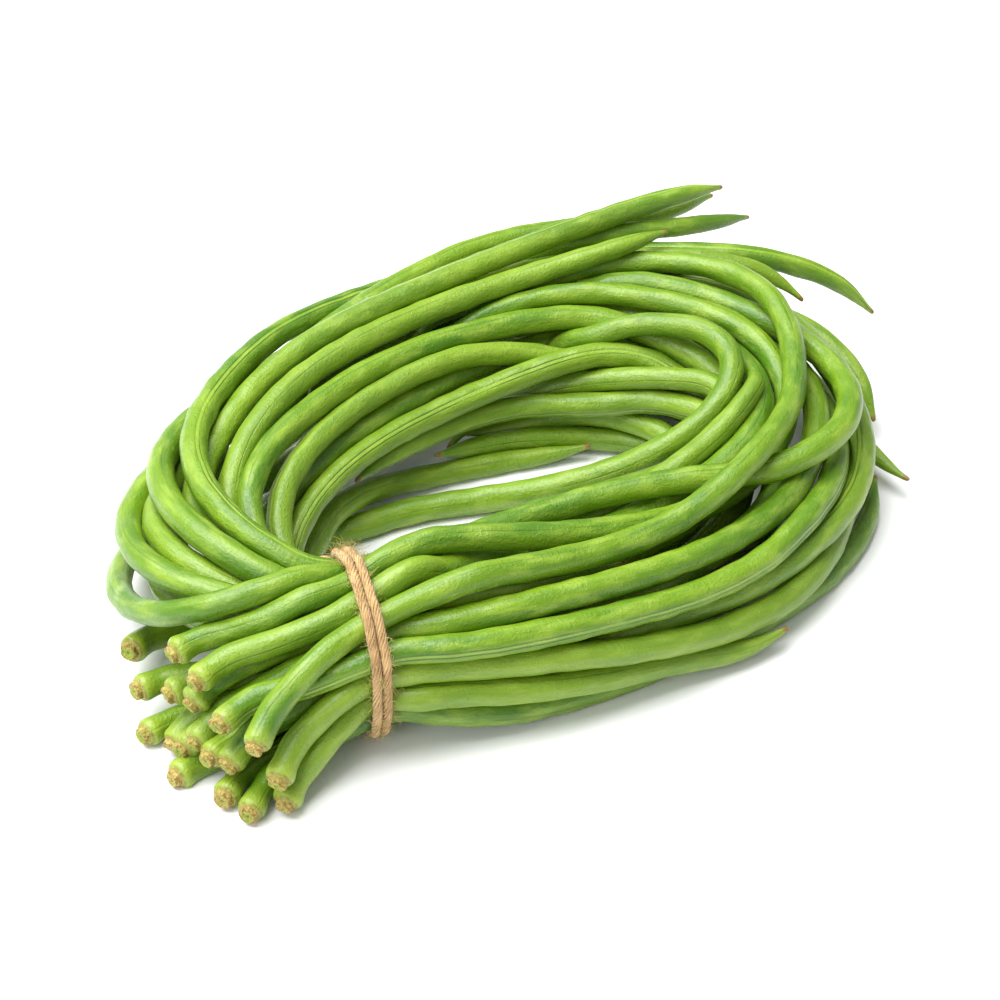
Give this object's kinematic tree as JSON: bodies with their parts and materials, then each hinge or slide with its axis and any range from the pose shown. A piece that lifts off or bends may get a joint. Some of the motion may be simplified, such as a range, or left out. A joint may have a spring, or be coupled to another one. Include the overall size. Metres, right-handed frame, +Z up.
{
  "type": "yardlong bean bunch",
  "caption": "Bunch of fresh yardlong beans coiled into an oval loop, tied once with two turns of twine, lying flat with the cut stem ends fanned out.",
  "frame": {"origin": "centre of the bunch's box at the surface that it lies on", "axes": "+X along the loop's long axis, from the fan of stem ends to the loose tips; +Y from the tied side to the far side; +Z up"},
  "size_m": [0.3158, 0.2026, 0.0596],
  "materials": {
    "pod_skin": "satin, waxy green skin",
    "twine": "hairy twisted jute"
  },
  "bodies": {
    "root": {"pod_01": "pod_skin", "pod_02": "pod_skin", "pod_03": "pod_skin", "pod_04": "pod_skin", "pod_05": "pod_skin", "pod_06": "pod_skin", "pod_07": "pod_skin", "pod_08": "pod_skin", "pod_09": "pod_skin", "pod_10": "pod_skin", "pod_11": "pod_skin", "pod_12": "pod_skin", "pod_13": "pod_skin", "pod_14": "pod_skin", "pod_15": "pod_skin", "pod_16": "pod_skin", "pod_17": "pod_skin", "pod_18": "pod_skin", "pod_19": "pod_skin", "pod_20": "pod_skin", "pod_21": "pod_skin", "pod_22": "pod_skin", "pod_23": "pod_skin", "pod_24": "pod_skin", "pod_25": "pod_skin", "pod_26": "pod_skin", "pod_27": "pod_skin", "pod_28": "pod_skin", "pod_29": "pod_skin", "twine_tie": "twine"}
  },
  "joints": []
}
